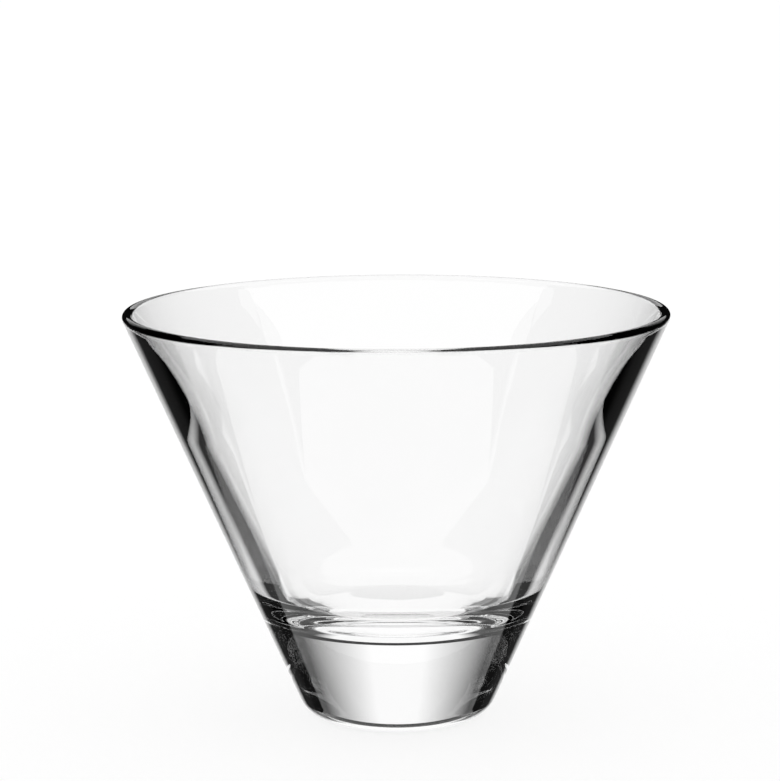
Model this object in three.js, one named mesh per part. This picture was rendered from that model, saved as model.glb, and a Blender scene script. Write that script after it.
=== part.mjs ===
// Stemless cocktail glass: a conical bowl with a fire-polished lip, on a thick solid base with a hollowed foot.
// Millimetres, +Z up. The origin is the centre of the foot, on the table.
import * as THREE from "three";

// Driving dimensions
const HEIGHT = 88; // table to the top of the lip
const RIM_RADIUS = 58; // outside, at the widest point of the lip
const CONE_FOOT_RADIUS = 19.3; // where the line of the outside cone would meet the table
const HEEL_RADIUS = 6.8; // rounding between the outside cone and the foot
const PUNT_RADIUS = 10; // hollow under the foot
const PUNT_DEPTH = 1.2;
const FLOOR_HEIGHT = 22; // table to the lowest point of the floor of the bowl
const FLOOR_DISH_RADIUS = 100; // the floor is a shallow dish
const FLOOR_FILLET = 13; // rounding between the dish and the inside cone
const LOW_WALL = 6.6; // level wall thickness, at the height of the floor
const HIGH_WALL = 4.6; // level wall thickness, where the wall starts to thin towards the lip
const THINNING_DEPTH = 24; // height below the top over which the wall thins
const LIP_RADIUS = 1.5; // outer side of the lip
const LIP_INNER_WIDTH = 1.1; // inner side of the lip, part of an upright ellipse
const LIP_INNER_HEIGHT = 1.6;

// Facets
const TURN_STEPS = 96;
const ARC_STEPS = 8;
const THINNING_STEPS = 8;

// A straight side of a cone in the (radius, height) plane: it leans outwards by `lean`, and has `radius` at height 0.
function sideThrough(low, high) {
  const slope = (high.x - low.x) / (high.y - low.y);
  return { slope, lean: Math.atan(slope), radius: low.x - slope * low.y };
}

function radiusAt(side, height) {
  return side.radius + side.slope * height;
}

// The rounding between a level line at `height` and a leaning side that rises from it.
function roundingAbove(height, side, radius) {
  const centreHeight = height + radius;
  const centreRadius = radiusAt(side, centreHeight) - radius / Math.cos(side.lean);
  return { centre: new THREE.Vector2(centreRadius, centreHeight), radius };
}

// The rounding between the dish of the floor and a leaning side: it touches both, so its centre lies one radius in
// from the side, and one radius nearer to the centre of the dish than the dish is.
function roundingInDish(side, radius) {
  const insetRadius = side.radius - radius / Math.cos(side.lean);
  const reach = FLOOR_DISH_RADIUS - radius;
  const square = side.slope ** 2 + 1;
  const half = insetRadius * side.slope - dishCentre.y;
  const rest = insetRadius ** 2 + dishCentre.y ** 2 - reach ** 2;
  const centreHeight = (-half - Math.sqrt(half ** 2 - square * rest)) / square;
  const centre = new THREE.Vector2(insetRadius + side.slope * centreHeight, centreHeight);
  return {
    centre,
    radius,
    top: centreHeight - radius * Math.sin(side.lean),
    dishAngle: Math.atan2(centre.y - dishCentre.y, centre.x),
  };
}

const lipCentre = new THREE.Vector2(RIM_RADIUS - LIP_RADIUS, HEIGHT - LIP_RADIUS);
const outside = outsideCone();
const inside = insideCone();
const heel = roundingAbove(0, outside, HEEL_RADIUS);
const dishCentre = new THREE.Vector2(0, FLOOR_HEIGHT + FLOOR_DISH_RADIUS);
const floorRounding = roundingInDish(inside, FLOOR_FILLET);

// The bowl stands on the base at the level where the floor's rounding runs into the inside cone.
const joinHeight = floorRounding.top;

// The outside is the line from the foot that just touches the lip's round.
function outsideCone() {
  const foot = new THREE.Vector2(CONE_FOOT_RADIUS, 0);
  const toCentre = lipCentre.clone().sub(foot);
  const rise = toCentre.angle() - Math.asin(LIP_RADIUS / toCentre.length());
  const reach = new THREE.Vector2(Math.cos(rise), Math.sin(rise));
  return sideThrough(foot, foot.clone().add(reach));
}

function insideCone() {
  const thinningHeight = HEIGHT - THINNING_DEPTH;
  const low = new THREE.Vector2(radiusAt(outside, FLOOR_HEIGHT) - LOW_WALL, FLOOR_HEIGHT);
  const high = new THREE.Vector2(radiusAt(outside, thinningHeight) - HIGH_WALL, thinningHeight);
  return sideThrough(low, high);
}

function ellipsePoints(centre, width, height, from, to) {
  const clockwise = to < from;
  const arc = new THREE.EllipseCurve(centre.x, centre.y, width, height, from, to, clockwise);
  return arc.getPoints(ARC_STEPS);
}

function arcPoints(centre, radius, from, to) {
  return ellipsePoints(centre, radius, radius, from, to);
}

// The hollow under the foot is a shallow cap of a sphere, from the axis to its rim on the table.
function puntPoints() {
  const capRadius = (PUNT_RADIUS ** 2 + PUNT_DEPTH ** 2) / (2 * PUNT_DEPTH);
  const centre = new THREE.Vector2(0, PUNT_DEPTH - capRadius);
  const rimAngle = Math.asin(-centre.y / capRadius);
  return arcPoints(centre, capRadius, Math.PI / 2, rimAngle);
}

// The lip is round outside and tighter inside, and the two sides share its top.
function lipPoints() {
  const innerCentre = new THREE.Vector2(lipCentre.x, HEIGHT - LIP_INNER_HEIGHT);
  const outer = arcPoints(lipCentre, LIP_RADIUS, -outside.lean, Math.PI / 2);
  const inner = ellipsePoints(
    innerCentre,
    LIP_INNER_WIDTH,
    LIP_INNER_HEIGHT,
    Math.PI / 2,
    Math.PI - inside.lean,
  );
  return [...outer, ...inner.slice(1)];
}

// From the lip down to the inside cone in a long S, with the cone's lean at both ends.
function thinningPoints(lipEnd) {
  const thinningHeight = HEIGHT - THINNING_DEPTH;
  const coneTop = new THREE.Vector2(radiusAt(inside, thinningHeight), thinningHeight);
  const third = (lipEnd.y - thinningHeight) / 3;
  const run = new THREE.Vector2(inside.slope * third, third);
  const belowLip = lipEnd.clone().sub(run);
  const aboveCone = coneTop.clone().add(run);
  return new THREE.CubicBezierCurve(lipEnd, belowLip, aboveCone, coneTop).getPoints(THINNING_STEPS);
}

function bowlProfile() {
  const start = new THREE.Vector2(radiusAt(outside, joinHeight), joinHeight);
  const lip = lipPoints();
  const thinning = thinningPoints(lip.at(-1)).slice(1);
  const end = new THREE.Vector2(radiusAt(inside, joinHeight), joinHeight);
  return [start, ...lip, ...thinning, end, start];
}

function baseProfile() {
  const heelPoints = arcPoints(heel.centre, heel.radius, -Math.PI / 2, -outside.lean);
  const shoulder = new THREE.Vector2(radiusAt(outside, joinHeight), joinHeight);
  const { centre, radius, dishAngle } = floorRounding;
  const fillet = arcPoints(centre, radius, -inside.lean, dishAngle);
  const dish = arcPoints(dishCentre, FLOOR_DISH_RADIUS, dishAngle, -Math.PI / 2).slice(1);
  return [...puntPoints(), ...heelPoints, shoulder, ...fillet, ...dish];
}

// A closed solid of revolution about Z.
function revolve(profile) {
  return new THREE.LatheGeometry(profile, TURN_STEPS).rotateX(Math.PI / 2);
}

function clearGlass() {
  return new THREE.MeshStandardMaterial({
    color: 0xf4f7f7,
    roughness: 0.03,
    metalness: 0,
    transparent: true,
    opacity: 0.3,
  });
}

function part(name, profile) {
  const mesh = new THREE.Mesh(revolve(profile), clearGlass());
  mesh.name = name;
  return mesh;
}

const glass = new THREE.Group();
glass.add(part("base", baseProfile()));
glass.add(part("bowl", bowlProfile()));

export default glass;
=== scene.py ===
import math

import bmesh
import bpy
from mathutils import Matrix, Vector


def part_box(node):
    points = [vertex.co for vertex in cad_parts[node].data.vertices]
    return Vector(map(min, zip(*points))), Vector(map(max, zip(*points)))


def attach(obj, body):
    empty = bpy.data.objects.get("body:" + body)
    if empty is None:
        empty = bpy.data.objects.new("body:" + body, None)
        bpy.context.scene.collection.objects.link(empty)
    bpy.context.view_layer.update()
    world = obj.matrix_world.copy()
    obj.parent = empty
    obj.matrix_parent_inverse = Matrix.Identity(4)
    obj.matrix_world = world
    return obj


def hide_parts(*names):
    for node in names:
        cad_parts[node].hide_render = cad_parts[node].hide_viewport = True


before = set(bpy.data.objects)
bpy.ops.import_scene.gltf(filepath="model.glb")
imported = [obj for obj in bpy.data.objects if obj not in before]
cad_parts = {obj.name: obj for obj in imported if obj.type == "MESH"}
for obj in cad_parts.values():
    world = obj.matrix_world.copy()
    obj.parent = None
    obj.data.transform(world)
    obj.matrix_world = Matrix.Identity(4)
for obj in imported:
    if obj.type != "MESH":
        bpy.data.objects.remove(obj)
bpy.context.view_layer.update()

# A stemless cocktail glass in clear glass, on a pale floor in soft studio light. Metres, +Z up.

MM = 0.001

# Driving dimensions of the glass
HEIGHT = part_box("bowl")[1].z
RIM_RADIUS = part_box("bowl")[1].x
CONE_FOOT_RADIUS = 19.3 * MM  # where the line of the outside cone would meet the table
HEEL_RADIUS = 6.8 * MM
PUNT_RADIUS = 10 * MM
PUNT_DEPTH = 1.2 * MM
FLOOR_HEIGHT = 22 * MM  # lowest point of the floor
FLOOR_DISH_RADIUS = 100 * MM
FLOOR_FILLET = 13 * MM
LOW_WALL = 6.6 * MM  # level thickness at the height of the floor
HIGH_WALL = 4.4 * MM  # level thickness where the wall starts to thin
THINNING_DEPTH = 24 * MM
LIP_RADIUS = 1.0 * MM  # outer side of the lip
LIP_INNER_WIDTH = 1.5 * MM  # inner side of the lip, a tall part of an ellipse
LIP_INNER_DEPTH = 2.0 * MM

# Fineness of the mesh
TURNS = 256
ARC_STEPS = 32
WALL_STEPS = 28
FLAT_STEPS = 6
ORDER_STEP = 1000.0  # more than the points of any run of the profile
MERGE = 0.5e-6

# The photograph's camera
IMAGE_SIZE = (780, 781)
FOCAL_PIXELS = 3290.7
SENSOR = 36.0
CAMERA_AZIMUTH = math.radians(225)  # the side of the glass that the photograph looks at
CAMERA_DISTANCE = 705.13 * MM
CAMERA_ELEVATION = math.radians(11.4506)
CAMERA_PAN = math.radians(-0.1137)
CAMERA_TILT = math.radians(9.3222)
CAMERA_ROLL = math.radians(-0.2763)
AIM_HEIGHT = 43.9575 * MM
NEAREST_SEEN = 10 * MM

# Looks
GLASS_IOR = 1.52
WAVE_SCALE = 70.0
WAVE_DETAIL = 1.0
RIPPLE_STRENGTH = 0.1
RIPPLE_HEIGHT = 0.01 * MM
TINT = [(0.3, 0.995), (0.7, 1.0)]  # (height of the waves, level)
SMEAR_SCALE = 240.0
SMEAR_DETAIL = 4.0
SMEAR_ROUGHNESS = 0.01
LIGHT_BOUNCES = 12
FLOOR_PAINT = 0.2
FLOOR_GLOW = 0.81
FLOOR_RADIUS = 6.0
FLOOR_SIDES = 64

# Light that the glass shows: from each height in degrees up to the next, (degrees to either side
# of straight ahead of the photograph's camera, level), where a level of 1 is white. It is a white
# table, a white sweep between dark flags, a dark gap where the sweep ends, a card that lights the
# base from behind, and a white ceiling. The angles were fitted by tracing light through the glass.
HALF_TURN = 180
DARK = 0.006
FLAG_FOOT = 0.045  # the table lights the foot of the flags a little
BANDS = [
    (-90, [(0, 1), (180, 1)]),
    (-52, [(0, 1), (114, 1), (116, DARK)]),
    (-45, [(0, 1), (19, 1), (27, DARK), (45, DARK), (46, 1), (114, 1), (116, DARK)]),
    (
        -40,
        [
            *[(0, 1), (19, 1), (27, FLAG_FOOT), (42, FLAG_FOOT), (46, DARK)],
            *[(58, DARK), (60, 1), (70, 1), (72, DARK)],
        ],
    ),
    (-30, [(0, 1), (19, 1), (27, FLAG_FOOT), (38, FLAG_FOOT), (45, DARK)]),
    (-6.5, [(0, DARK), (180, DARK)]),
    (10.5, [(0, 1), (8, 1), (37, DARK)]),
    (24, [(0, DARK), (180, DARK)]),
    (38, [(0, 1), (180, 1)]),
]

# Behind the camera the room is white between dark strips, for light that has met few surfaces of
# the glass: those of two walls of the bowl, or fewer at the heights at which the base shows it.
BEHIND = 100 / HALF_TURN
BEHIND_LOW = math.radians(-33)  # lower down, only straight behind
STRAIGHT_BEHIND = 161 / HALF_TURN
BASE_LOW = math.radians(8)
BASE_HIGH = math.radians(26)
BOWL_SURFACES = 4
BASE_SURFACES = 2
STRIP_LIGHT = [
    *[(107, 1), (108, DARK), (117, DARK), (118, 1)],
    *[(152, 1), (153, DARK), (162, DARK), (163, 1)],
]
STRIP_LOW = math.radians(-38)
STRIP_HIGH = math.radians(28)


class Value:
    """A number in a node tree. Arithmetic on it adds Math nodes."""

    def __init__(self, tree, socket):
        self.tree = tree
        self.socket = socket

    def math(self, operation, *values):
        return self.tree.add("ShaderNodeMath", {"operation": operation}, *values)

    def __add__(self, other):
        return self.math("ADD", self, other)

    def __sub__(self, other):
        return self.math("SUBTRACT", self, other)

    def __rsub__(self, other):
        return self.math("SUBTRACT", other, self)

    def __mul__(self, other):
        return self.math("MULTIPLY", self, other)

    def __truediv__(self, other):
        return self.math("DIVIDE", self, other)

    def __gt__(self, other):
        return self.math("GREATER_THAN", self, other)

    def __lt__(self, other):
        return self.math("LESS_THAN", self, other)

    __radd__ = __add__
    __rmul__ = __mul__


class Tree:
    """Builds one node tree."""

    def __init__(self, node_tree):
        self.node_tree = node_tree
        node_tree.nodes.clear()

    def add(self, kind, settings=None, *values, output=0, **named):
        node = self.node_tree.nodes.new(kind)
        for name, setting in (settings or {}).items():
            if name == "stops":
                self.set_stops(node.color_ramp, setting)
            else:
                setattr(node, name, setting)
        for socket, value in zip(node.inputs, values):
            self.feed(socket, value)
        for name, value in named.items():
            self.feed(node.inputs[name.replace("_", " ")], value)
        return Value(self, node.outputs[output]) if node.outputs else node

    def feed(self, socket, value):
        if isinstance(value, Value):
            self.node_tree.links.new(value.socket, socket)
        elif value is not None:
            socket.default_value = value

    def set_stops(self, ramp, stops):
        while len(ramp.elements) < len(stops):
            ramp.elements.new(1)
        for element, (place, level) in zip(ramp.elements, stops):
            element.position = place
            element.color = (level, level, level, 1)


# Profile of the glass in the (radius, height) plane

def side_through(low, high):
    """A straight side of a cone: its radius at height 0, and how fast it widens."""
    slope = (high[0] - low[0]) / (high[1] - low[1])
    return low[0] - slope * low[1], slope


def radius_at(side, height):
    return side[0] + side[1] * height


def rounding_above(height, side, rounding):
    """Centre of the rounding between a level line at a height and a side that rises from it."""
    centre_height = height + rounding
    return radius_at(side, centre_height) - rounding * math.hypot(1, side[1]), centre_height


def rounding_in_dish(dish_height, side, rounding):
    """Centre of the rounding that touches the dish of the floor and a side that rises from it."""
    inset = side[0] - rounding * math.hypot(1, side[1])
    square = side[1] ** 2 + 1
    half = inset * side[1] - dish_height
    rest = inset**2 + dish_height**2 - (FLOOR_DISH_RADIUS - rounding) ** 2
    height = (-half - math.sqrt(half**2 - square * rest)) / square
    return inset + side[1] * height, height


def outside_cone():
    """The line from the foot that just touches the lip's round."""
    reach = RIM_RADIUS - LIP_RADIUS - CONE_FOOT_RADIUS, HEIGHT - LIP_RADIUS
    rise = math.atan2(reach[1], reach[0]) - math.asin(LIP_RADIUS / math.hypot(*reach))
    return CONE_FOOT_RADIUS, 1 / math.tan(rise)


OUTSIDE = outside_cone()
THINNING_HEIGHT = HEIGHT - THINNING_DEPTH
INSIDE = side_through(
    (radius_at(OUTSIDE, FLOOR_HEIGHT) - LOW_WALL, FLOOR_HEIGHT),
    (radius_at(OUTSIDE, THINNING_HEIGHT) - HIGH_WALL, THINNING_HEIGHT),
)


def arc(centre, radii, start, end):
    """A run of the profile that follows an ellipse between two angles."""
    return {"kind": "arc", "centre": centre, "radii": radii, "start": start, "sweep": end - start}


def arc_point(run, share):
    angle = run["start"] + run["sweep"] * share
    return (
        run["centre"][0] + run["radii"][0] * math.cos(angle),
        run["centre"][1] + run["radii"][1] * math.sin(angle),
    )


def line(low, high, steps):
    return {"kind": "line", "ends": (low, high), "steps": steps}


def glass_runs():
    """The runs of the profile, from the middle of the foot, round the lip, to that of the floor."""
    outside_lean = math.atan(OUTSIDE[1])
    inside_lean = math.atan(INSIDE[1])
    cap = (PUNT_RADIUS**2 + PUNT_DEPTH**2) / (2 * PUNT_DEPTH)
    punt = arc((0, PUNT_DEPTH - cap), (cap, cap), math.pi / 2, math.acos(PUNT_RADIUS / cap))
    heel_centre = rounding_above(0, OUTSIDE, HEEL_RADIUS)
    heel = arc(heel_centre, (HEEL_RADIUS, HEEL_RADIUS), -math.pi / 2, -outside_lean)
    lip_centre = RIM_RADIUS - LIP_RADIUS, HEIGHT - LIP_RADIUS
    lip = arc(lip_centre, (LIP_RADIUS, LIP_RADIUS), -outside_lean, math.pi / 2)
    inner_centre = lip_centre[0], HEIGHT - LIP_INNER_DEPTH
    inner_radii = LIP_INNER_WIDTH, LIP_INNER_DEPTH
    inner_lip = arc(inner_centre, inner_radii, math.pi / 2, math.pi - inside_lean)
    top = arc_point(inner_lip, 1)
    bottom = radius_at(INSIDE, THINNING_HEIGHT), THINNING_HEIGHT
    pull = (top[1] - THINNING_HEIGHT) / 3  # a third of the bend's height, along the cone's lean
    thinning = {
        "kind": "bend",
        "ends": (top, bottom),
        "handles": (
            (top[0] - INSIDE[1] * pull, top[1] - pull),
            (bottom[0] + INSIDE[1] * pull, bottom[1] + pull),
        ),
    }
    dish_centre = 0, FLOOR_HEIGHT + FLOOR_DISH_RADIUS
    fillet_centre = rounding_in_dish(dish_centre[1], INSIDE, FLOOR_FILLET)
    dish_edge = math.atan2(fillet_centre[1] - dish_centre[1], fillet_centre[0])
    fillet = arc(fillet_centre, (FLOOR_FILLET, FLOOR_FILLET), -inside_lean, dish_edge)
    dish = arc(dish_centre, (FLOOR_DISH_RADIUS, FLOOR_DISH_RADIUS), dish_edge, -math.pi / 2)
    return [
        punt,
        line(arc_point(punt, 1), arc_point(heel, 0), FLAT_STEPS),
        heel,
        line(arc_point(heel, 1), arc_point(lip, 0), WALL_STEPS),
        lip,
        inner_lip,
        thinning,
        line(bottom, arc_point(fillet, 0), WALL_STEPS),
        fillet,
        dish,
    ]


class Turning:
    """A Geometry Nodes tree that turns a profile about Z, with the sizes of its runs as inputs."""

    def __init__(self, name, runs, material):
        self.group = bpy.data.node_groups.new(name, "GeometryNodeTree")
        self.tree = Tree(self.group)
        self.group.interface.new_socket("Geometry", in_out="OUTPUT", socket_type="NodeSocketGeometry")
        self.inputs = self.group.nodes.new("NodeGroupInput")
        self.sizes = {}
        parts = [self.in_order(self.run_curve(number, run), number) for number, run in enumerate(runs)]
        profile = self.sorted_points(parts)
        self.end_with(self.turned(profile), material)

    def size(self, name, kind, value):
        """A named input of the tree, with the value that the glass has."""
        item = self.group.interface.new_socket(name, in_out="INPUT", socket_type=kind)
        self.sizes[item.identifier] = value
        return Value(self.tree, self.inputs.outputs[name])

    def place(self, name, point):
        return self.size(name, "NodeSocketVector", (point[0], point[1], 0))

    def run_curve(self, number, run):
        label = f"Run {number + 1}"
        add = self.tree.add
        if run["kind"] == "line":
            ends = zip(("start", "end"), run["ends"])
            low, high = (self.place(f"{label} {n}", p) for n, p in ends)
            straight = add("GeometryNodeCurvePrimitiveLine", None, low, high)
            return add("GeometryNodeResampleCurve", None, Curve=straight, Count=run["steps"] + 1)
        if run["kind"] == "bend":
            names = "start", "start pull", "end pull", "end"
            points = run["ends"][0], *run["handles"], run["ends"][1]
            places = [self.place(f"{label} {n}", p) for n, p in zip(names, points)]
            return add("GeometryNodeCurvePrimitiveBezierSegment", None, WALL_STEPS, *places)
        turn = add(
            "GeometryNodeCurveArc",
            {"mode": "RADIUS"},
            Resolution=ARC_STEPS + 1,
            Radius=1.0,
            Start_Angle=self.size(f"{label} from", "NodeSocketFloat", run["start"]),
            Sweep_Angle=self.size(f"{label} sweep", "NodeSocketFloat", run["sweep"]),
        )
        return add(
            "GeometryNodeTransform",
            None,
            Geometry=turn,
            Translation=self.place(f"{label} centre", run["centre"]),
            Scale=self.place(f"{label} radii", run["radii"]),
        )

    def in_order(self, curve, number):
        """The run's points, each with its place in the order of the profile."""
        points = self.tree.add("GeometryNodeCurveToPoints", {"mode": "EVALUATED"}, Curve=curve)
        order = self.tree.add("GeometryNodeInputIndex") + ORDER_STEP * number
        return self.tree.add(
            "GeometryNodeStoreNamedAttribute",
            {"data_type": "FLOAT", "domain": "POINT"},
            Geometry=points,
            Name="order",
            Value=order,
        )

    def sorted_points(self, parts):
        join = self.group.nodes.new("GeometryNodeJoinGeometry")
        for part in parts:
            self.group.links.new(part.socket, join.inputs[0])
        order = self.tree.add("GeometryNodeInputNamedAttribute", {"data_type": "FLOAT"}, Name="order")
        return self.tree.add(
            "GeometryNodeSortElements",
            {"domain": "POINT"},
            Geometry=Value(self.tree, join.outputs[0]),
            Sort_Weight=order,
        )

    def turned(self, profile):
        add = self.tree.add
        count = add("GeometryNodeAttributeDomainSize", {"component": "POINTCLOUD"}, profile)
        rows = TURNS + 1
        sheet = add("GeometryNodeMeshGrid", None, Vertices_X=count, Vertices_Y=rows)
        index = add("GeometryNodeInputIndex")
        row = (index / rows).math("FLOOR", index / rows)
        column = index - row * rows
        point = add(
            "GeometryNodeSampleIndex",
            {"data_type": "FLOAT_VECTOR", "domain": "POINT"},
            Geometry=profile,
            Value=add("GeometryNodeInputPosition"),
            Index=row,
        )
        split = self.group.nodes.new("ShaderNodeSeparateXYZ")
        self.tree.feed(split.inputs[0], point)
        radius, height = (Value(self.tree, split.outputs[i]) for i in (0, 1))
        angle = column * (2 * math.pi / TURNS)
        place = add(
            "ShaderNodeCombineXYZ",
            None,
            radius * angle.math("COSINE", angle),
            radius * angle.math("SINE", angle),
            height,
        )
        lathe = add("GeometryNodeSetPosition", None, Geometry=sheet, Position=place)
        closed = add("GeometryNodeMergeByDistance", None, Geometry=lathe, Distance=MERGE)
        return add("GeometryNodeSetShadeSmooth", None, closed)

    def end_with(self, mesh, material):
        real = self.tree.add("GeometryNodeRealizeInstances", None, mesh)
        finished = self.tree.add("GeometryNodeSetMaterial", None, Geometry=real, Material=material)
        out = self.group.nodes.new("NodeGroupOutput")
        self.group.links.new(finished.socket, out.inputs[0])

    def mesh(self, name):
        """The tree's result as a plain mesh, facing outwards."""
        maker = bpy.data.objects.new(name, bpy.data.meshes.new(name))
        bpy.context.scene.collection.objects.link(maker)
        modifier = maker.modifiers.new(name, "NODES")
        modifier.node_group = self.group
        for identifier, value in self.sizes.items():
            modifier[identifier] = value
        graph = bpy.context.evaluated_depsgraph_get()
        made = bpy.data.meshes.new_from_object(maker.evaluated_get(graph), depsgraph=graph)
        maker.modifiers.remove(modifier)
        maker.data = made
        work = bmesh.new()
        work.from_mesh(made)
        bmesh.ops.recalc_face_normals(work, faces=work.faces)
        work.to_mesh(made)
        work.free()
        return maker


def clear_glass():
    """Clear pressed glass, fire-polished: colourless, with slight waves in its surface."""
    material = bpy.data.materials.new("clear_glass")
    material.use_nodes = True
    tree = Tree(material.node_tree)
    place = tree.add("ShaderNodeTexCoord", output="Object")
    waves = tree.add(
        "ShaderNodeTexNoise",
        None,
        Vector=place,
        Scale=WAVE_SCALE,
        Detail=WAVE_DETAIL,
    )
    smears = tree.add(
        "ShaderNodeTexNoise",
        None,
        Vector=place,
        Scale=SMEAR_SCALE,
        Detail=SMEAR_DETAIL,
    )
    tint = tree.add("ShaderNodeValToRGB", {"stops": TINT}, waves)
    ripple = tree.add(
        "ShaderNodeBump",
        None,
        Strength=RIPPLE_STRENGTH,
        Distance=RIPPLE_HEIGHT,
        Height=waves,
    )
    surface = tree.add(
        "ShaderNodeBsdfPrincipled",
        None,
        Base_Color=tint,
        Roughness=smears * SMEAR_ROUGHNESS,
        Normal=ripple,
        IOR=GLASS_IOR,
        Transmission_Weight=1.0,
    )
    tree.add("ShaderNodeOutputMaterial", None, Surface=surface)
    return material


def floor_material():
    """Pale and seamless: a glow that the camera sees, and paint that takes the glass's shadow."""
    material = bpy.data.materials.new("pale_floor")
    material.use_nodes = True
    tree = Tree(material.node_tree)
    paint = tree.add("ShaderNodeBsdfDiffuse", None, Color=(FLOOR_PAINT, FLOOR_PAINT, FLOOR_PAINT, 1))
    seen = tree.add("ShaderNodeLightPath", output="Is Camera Ray")
    glow = tree.add("ShaderNodeEmission", None, Strength=seen * FLOOR_GLOW)
    material.cycles.emission_sampling = "NONE"
    surface = tree.add("ShaderNodeAddShader", None, paint, glow)
    tree.add("ShaderNodeOutputMaterial", None, Surface=surface)
    return material


def studio():
    """White to the eye and to the floor. The glass shows the bands, and the white behind."""
    world = bpy.data.worlds.new("studio")
    bpy.context.scene.world = world
    world.use_nodes = True
    tree = Tree(world.node_tree)
    toward = tree.add("ShaderNodeTexCoord", output="Generated")
    split = world.node_tree.nodes.new("ShaderNodeSeparateXYZ")
    tree.feed(split.inputs[0], toward)
    rise = Value(tree, split.outputs["Z"])
    level = rise.math("SQRT", 1 - rise * rise)
    ahead = tree.add(
        "ShaderNodeVectorMath",
        {"operation": "DOT_PRODUCT"},
        toward,
        (-math.sin(CAMERA_AZIMUTH), math.cos(CAMERA_AZIMUTH), 0),
        output="Value",
    )
    cosine = ahead / level
    turn = cosine.math("ARCCOSINE", cosine) / math.pi
    room = 0.0
    for height, lights in BANDS:
        band = tree.add("ShaderNodeValToRGB", {"stops": stops_of(lights)}, turn)
        room = room + (band - room) * (rise > math.sin(math.radians(height)))
    path = world.node_tree.nodes.new("ShaderNodeLightPath")
    met = Value(tree, path.outputs["Ray Depth"]) - 1  # the way from the glass counts as one more
    by_base = (rise > math.sin(BASE_LOW)) * (rise < math.sin(BASE_HIGH))
    most = BOWL_SURFACES - (BOWL_SURFACES - BASE_SURFACES) * by_base
    wide = (turn > BEHIND) * (rise > math.sin(BEHIND_LOW))
    behind = wide.math("MAXIMUM", wide, turn > STRAIGHT_BEHIND) * (met < most + 1)
    strips = tree.add("ShaderNodeValToRGB", {"stops": stops_of(STRIP_LIGHT)}, turn)
    low = (rise > math.sin(STRIP_LOW)) * (rise < math.sin(STRIP_HIGH))
    room = room + (1 - low * (1 - strips) - room) * behind
    kinds = "Is Glossy Ray", "Is Transmission Ray", "Is Camera Ray"
    mirrored, through, seen = (Value(tree, path.outputs[kind]) for kind in kinds)
    either = mirrored + through
    in_glass = either.math("MINIMUM", either, 1.0) * (1 - seen)
    strength = room * in_glass + (1 - in_glass)
    light = tree.add("ShaderNodeBackground", None, Color=(1, 1, 1, 1), Strength=strength)
    tree.add("ShaderNodeOutputWorld", None, Surface=light)


def stops_of(lights):
    """Ramp stops from (degrees away from straight ahead, level)."""
    return [(degrees / HALF_TURN, level) for degrees, level in lights]


def pale_floor():
    mesh = bpy.data.meshes.new("floor")
    work = bmesh.new()
    bmesh.ops.create_circle(work, cap_ends=True, segments=FLOOR_SIDES, radius=FLOOR_RADIUS)
    work.to_mesh(mesh)
    work.free()
    floor = bpy.data.objects.new("floor", mesh)
    bpy.context.scene.collection.objects.link(floor)
    mesh.materials.append(floor_material())
    floor.visible_glossy = False
    floor.visible_transmission = False


def photo_camera():
    camera = bpy.data.cameras.new("camera")
    camera.sensor_width = SENSOR
    camera.lens = FOCAL_PIXELS * SENSOR / max(IMAGE_SIZE)
    camera.clip_start = NEAREST_SEEN
    holder = bpy.data.objects.new("camera", camera)
    bpy.context.scene.collection.objects.link(holder)
    bpy.context.scene.camera = holder
    eye = Vector((0, -math.cos(CAMERA_ELEVATION), math.sin(CAMERA_ELEVATION))) * CAMERA_DISTANCE
    eye.z += AIM_HEIGHT
    look = Vector(
        (
            math.sin(CAMERA_PAN) * math.cos(CAMERA_TILT),
            math.cos(CAMERA_PAN) * math.cos(CAMERA_TILT),
            -math.sin(CAMERA_TILT),
        )
    )
    right = Vector((math.cos(CAMERA_PAN), -math.sin(CAMERA_PAN), 0))
    above = right.cross(look)
    cosine, sine = math.cos(CAMERA_ROLL), math.sin(CAMERA_ROLL)
    turn = Matrix((right * cosine + above * sine, above * cosine - right * sine, -look)).transposed()
    place = Matrix.Translation(eye) @ turn.to_4x4()
    holder.matrix_world = Matrix.Rotation(CAMERA_AZIMUTH, 4, "Z") @ place


def render_settings():
    scene = bpy.context.scene
    scene.view_settings.view_transform = "Standard"
    scene.cycles.max_bounces = LIGHT_BOUNCES
    scene.cycles.transmission_bounces = LIGHT_BOUNCES
    scene.cycles.glossy_bounces = LIGHT_BOUNCES


glass = Turning("turned glass", glass_runs(), clear_glass()).mesh("glass")
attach(glass, "root")
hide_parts("bowl", "base")

pale_floor()
studio()
photo_camera()
render_settings()
